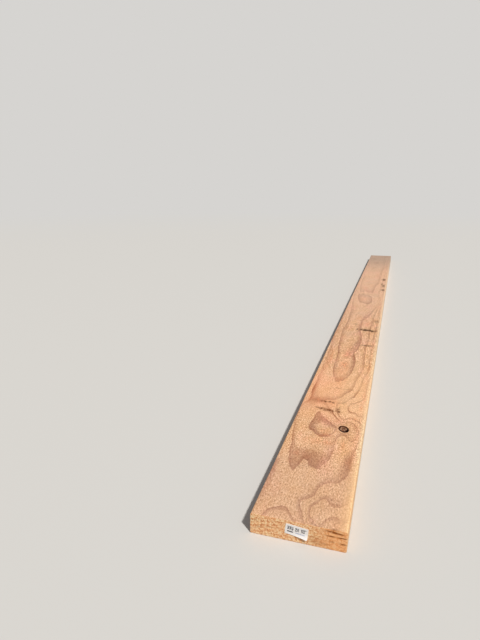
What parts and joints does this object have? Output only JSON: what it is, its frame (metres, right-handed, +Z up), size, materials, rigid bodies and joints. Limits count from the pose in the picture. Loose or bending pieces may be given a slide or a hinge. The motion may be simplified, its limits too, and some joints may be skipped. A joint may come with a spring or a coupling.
{
  "type": "timber plank",
  "caption": "Dressed softwood plank with eased long edges, lying flat, with a card tag stapled to one end.",
  "frame": {"origin": "middle of the underside", "axes": "+Y along the plank, away from its tagged end; +X across it; +Z up, out of its upper wide face"},
  "size_m": [0.19, 4.2055, 0.045],
  "materials": {
    "timber": "dressed, dry, slightly weathered",
    "tag_card": "printed plastic card",
    "staple_wire": "galvanised flat wire"
  },
  "bodies": {
    "root": {"plank": "timber", "end_tag": "tag_card", "staple_left": "staple_wire", "staple_right": "staple_wire"}
  },
  "joints": []
}
